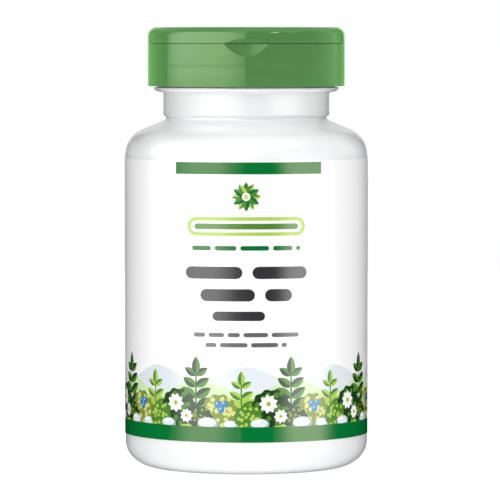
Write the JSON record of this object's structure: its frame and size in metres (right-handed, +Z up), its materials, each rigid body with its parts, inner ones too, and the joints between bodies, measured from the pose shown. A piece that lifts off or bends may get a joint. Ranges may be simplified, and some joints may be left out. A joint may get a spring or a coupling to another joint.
{
  "type": "capsule bottle",
  "caption": "White wide-mouth capsule bottle with a wrap label, a green screw closure and a flip-up lid over a dispensing hole.",
  "frame": {"origin": "on the bottle's axis, in the plane it stands on", "axes": "+Z up along the bottle's axis; -Y towards the front of the label and the lid; +X to the right seen from the front"},
  "size_m": [0.069, 0.069, 0.1244],
  "materials": {
    "bottle_plastic": "satin white blow-moulded polyethylene",
    "label_film": "white satin film label printed in greens",
    "ring_foam": "matte white polyethylene foam",
    "closure_plastic": "glossy leaf-green moulded polypropylene"
  },
  "bodies": {
    "bottle": {"bottle": "bottle_plastic", "label": "label_film"},
    "ring": {"sealing_ring": "ring_foam"},
    "closure": {"closure_body": "closure_plastic"},
    "lid": {"closure_lid": "closure_plastic"}
  },
  "joints": [
    {"name": "closure_lift", "type": "slide", "parent": "bottle", "child": "ring", "axis": [0, 0, 1], "range_m": [0, 0.0106]},
    {"name": "closure_turn", "type": "hinge", "parent": "ring", "child": "closure", "pos_m": [0, 0, 0.116], "axis": [0, 0, 1], "range_deg": [0, 900]},
    {"name": "lid_flip", "type": "hinge", "parent": "closure", "child": "lid", "pos_m": [0, -0.0076, 0.1244], "axis": [-1, 0, 0], "range_deg": [0, 150]}
  ],
  "couplings": [
    {"joint": "closure_lift", "follows": "closure_turn", "m_per_rad": 0.00067376}
  ]
}
